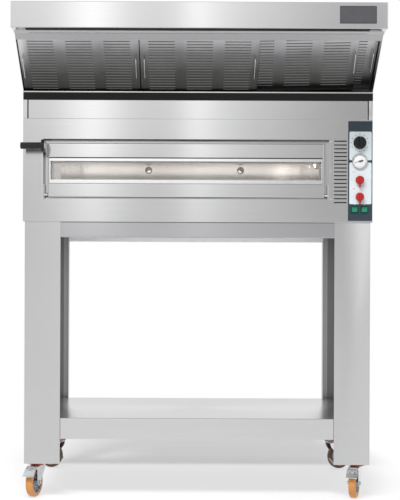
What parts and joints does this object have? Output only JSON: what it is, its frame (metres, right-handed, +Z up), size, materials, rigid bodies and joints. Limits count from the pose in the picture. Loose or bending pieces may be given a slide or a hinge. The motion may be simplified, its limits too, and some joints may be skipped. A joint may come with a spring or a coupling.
{
  "type": "pizza oven",
  "caption": "Single-deck electric pizza oven with a drop-down glazed door, under a filter hood, on an open stainless stand with a shelf and braked casters.",
  "frame": {"origin": "on the floor, under the centre of the object's bounding box", "axes": "+Z up, the door and controls face -Y, +X to the right of someone facing the door"},
  "size_m": [1.5522, 1.3, 2.103],
  "materials": {
    "stand_steel": "satin",
    "casing_steel": "satin",
    "hood_steel": "satin",
    "filter_steel": "satin",
    "door_steel": "satin",
    "bright_trim": "bright",
    "liner_steel": "mill finish",
    "fastener": "bright",
    "zinc": "zinc plated",
    "wheel": "moulded polyurethane tread on a grey hub",
    "badge": "satin",
    "control_plate": "satin",
    "black_knob": "satin",
    "red_knob": "gloss",
    "green_lens": "gloss",
    "switch_frame": "satin",
    "gauge_case": "white dial in a bright bezel",
    "needle": "matt",
    "glass": "clear",
    "grip": "satin",
    "stone": "rough refractory",
    "element": "oxidised",
    "insulation": "fibrous",
    "lamp": "satin",
    "block": "moulded",
    "gland": "moulded"
  },
  "bodies": {
    "oven": {"stand_front_legs": "stand_steel", "stand_rear_legs": "stand_steel", "stand_rails": "stand_steel", "stand_shelf": "stand_steel", "oven_front_panel": "casing_steel", "oven_side_panels": "casing_steel", "oven_top_panel": "casing_steel", "oven_base_panel": "casing_steel", "oven_rear_panel": "casing_steel", "recess_frame": "casing_steel", "recess_side_strips": "casing_steel", "hood_crown": "hood_steel", "hood_side_panels": "hood_steel", "hood_top_panel": "hood_steel", "hood_rear_panel": "hood_steel", "hood_lower_panel": "hood_steel", "hood_gutter": "hood_steel", "filter_rails": "hood_steel", "exhaust_collar": "hood_steel", "caster_top_plates": "zinc", "stand_bolts": "fastener", "hood_badge_plate": "badge", "control_panel": "control_plate", "switch_frames": "switch_frame", "gauge_case": "gauge_case", "hinge_brackets": "fastener", "chamber_liner": "liner_steel", "refractory_stones": "stone", "heating_elements": "element", "insulation_boards": "insulation", "steam_outlets": "liner_steel", "chamber_lamp": "lamp", "terminal_block": "block", "cable_gland": "gland"},
    "door": {"door_frame": "door_steel", "window_trim": "bright_trim", "door_glass": "glass", "door_inner_panel": "liner_steel", "door_handle_bracket": "fastener", "door_handle_grip": "grip"},
    "thermostat_knob": {"thermostat_knob": "black_knob"},
    "heat_knob_top": {"heat_knob_top": "red_knob"},
    "heat_knob_bottom": {"heat_knob_bottom": "red_knob"},
    "rocker_left": {"rocker_left": "green_lens"},
    "rocker_right": {"rocker_right": "green_lens"},
    "gauge_needle": {"gauge_needle": "needle"},
    "filter_left": {"filter_left": "filter_steel"},
    "filter_centre": {"filter_centre": "filter_steel"},
    "filter_right": {"filter_right": "filter_steel"},
    "filter_infill": {"filter_infill": "filter_steel"},
    "swivel_front_left": {"caster_fork_front_left": "zinc"},
    "wheel_front_left": {"caster_wheel_front_left": "wheel"},
    "swivel_front_right": {"caster_fork_front_right": "zinc"},
    "wheel_front_right": {"caster_wheel_front_right": "wheel"},
    "swivel_rear_left": {"caster_fork_rear_left": "zinc"},
    "wheel_rear_left": {"caster_wheel_rear_left": "wheel"},
    "swivel_rear_right": {"caster_fork_rear_right": "zinc"},
    "wheel_rear_right": {"caster_wheel_rear_right": "wheel"},
    "pedal_front_left": {"brake_pedal_front_left": "zinc"},
    "pedal_front_right": {"brake_pedal_front_right": "zinc"}
  },
  "joints": [
    {"name": "door_hinge", "type": "hinge", "parent": "oven", "child": "door", "pos_m": [-0.05, -0.284, 1.307], "axis": [1, 0, 0], "range_deg": [0, 90]},
    {"name": "thermostat_turn", "type": "hinge", "parent": "oven", "child": "thermostat_knob", "pos_m": [0.694, -0.302, 1.534], "axis": [0, 1, 0], "range_deg": [0, 300]},
    {"name": "heat_top_turn", "type": "hinge", "parent": "oven", "child": "heat_knob_top", "pos_m": [0.694, -0.302, 1.374], "axis": [0, 1, 0], "range_deg": [0, 270]},
    {"name": "heat_bottom_turn", "type": "hinge", "parent": "oven", "child": "heat_knob_bottom", "pos_m": [0.694, -0.302, 1.302], "axis": [0, 1, 0], "range_deg": [0, 270]},
    {"name": "rocker_left_tilt", "type": "hinge", "parent": "oven", "child": "rocker_left", "pos_m": [0.6724, -0.298, 1.2466], "axis": [1, 0, 0], "range_deg": [-10.8, 0]},
    {"name": "rocker_right_tilt", "type": "hinge", "parent": "oven", "child": "rocker_right", "pos_m": [0.7148, -0.298, 1.2466], "axis": [1, 0, 0], "range_deg": [-10.8, 0]},
    {"name": "needle_turn", "type": "hinge", "parent": "oven", "child": "gauge_needle", "pos_m": [0.694, -0.306, 1.454], "axis": [0, 1, 0], "range_deg": [0, 240], "stiffness_Nm_per_rad": 0.002},
    {"name": "filter_left_lift", "type": "slide", "parent": "oven", "child": "filter_left", "axis": [0, -0.7873, 0.6165], "range_m": [0, 0.03]},
    {"name": "filter_centre_lift", "type": "slide", "parent": "oven", "child": "filter_centre", "axis": [0, -0.7873, 0.6165], "range_m": [0, 0.03]},
    {"name": "filter_right_lift", "type": "slide", "parent": "oven", "child": "filter_right", "axis": [0, -0.7873, 0.6165], "range_m": [0, 0.03]},
    {"name": "filter_infill_lift", "type": "slide", "parent": "oven", "child": "filter_infill", "axis": [0, -0.7873, 0.6165], "range_m": [0, 0.03]},
    {"name": "swivel_front_left_turn", "type": "hinge", "parent": "oven", "child": "swivel_front_left", "pos_m": [-0.694, -0.205, 0.13], "axis": [0, 0, 1], "continuous": true},
    {"name": "wheel_front_left_roll", "type": "hinge", "parent": "swivel_front_left", "child": "wheel_front_left", "pos_m": [-0.70447, -0.24153, 0.0625], "axis": [0.9613, -0.2756, 0], "continuous": true},
    {"name": "swivel_front_right_turn", "type": "hinge", "parent": "oven", "child": "swivel_front_right", "pos_m": [0.696, -0.205, 0.13], "axis": [0, 0, 1], "continuous": true},
    {"name": "wheel_front_right_roll", "type": "hinge", "parent": "swivel_front_right", "child": "wheel_front_right", "pos_m": [0.68426, -0.24114, 0.0625], "axis": [0.9511, -0.309, 0], "continuous": true},
    {"name": "swivel_rear_left_turn", "type": "hinge", "parent": "oven", "child": "swivel_rear_left", "pos_m": [-0.683, 0.448, 0.13], "axis": [0, 0, 1], "continuous": true},
    {"name": "wheel_rear_left_roll", "type": "hinge", "parent": "swivel_rear_left", "child": "wheel_rear_left", "pos_m": [-0.71655, 0.46584, 0.0625], "axis": [-0.4695, -0.8829, 0], "continuous": true},
    {"name": "swivel_rear_right_turn", "type": "hinge", "parent": "oven", "child": "swivel_rear_right", "pos_m": [0.683, 0.448, 0.13], "axis": [0, 0, 1], "continuous": true},
    {"name": "wheel_rear_right_roll", "type": "hinge", "parent": "swivel_rear_right", "child": "wheel_rear_right", "pos_m": [0.71655, 0.46584, 0.0625], "axis": [-0.4695, 0.8829, 0], "continuous": true},
    {"name": "brake_front_left_press", "type": "hinge", "parent": "swivel_front_left", "child": "pedal_front_left", "pos_m": [-0.71164, -0.26652, 0.131], "axis": [0.9613, -0.2756, 0], "range_deg": [0, 10]},
    {"name": "brake_front_right_press", "type": "hinge", "parent": "swivel_front_right", "child": "pedal_front_right", "pos_m": [0.67622, -0.26587, 0.131], "axis": [0.9511, -0.309, 0], "range_deg": [0, 10]}
  ]
}
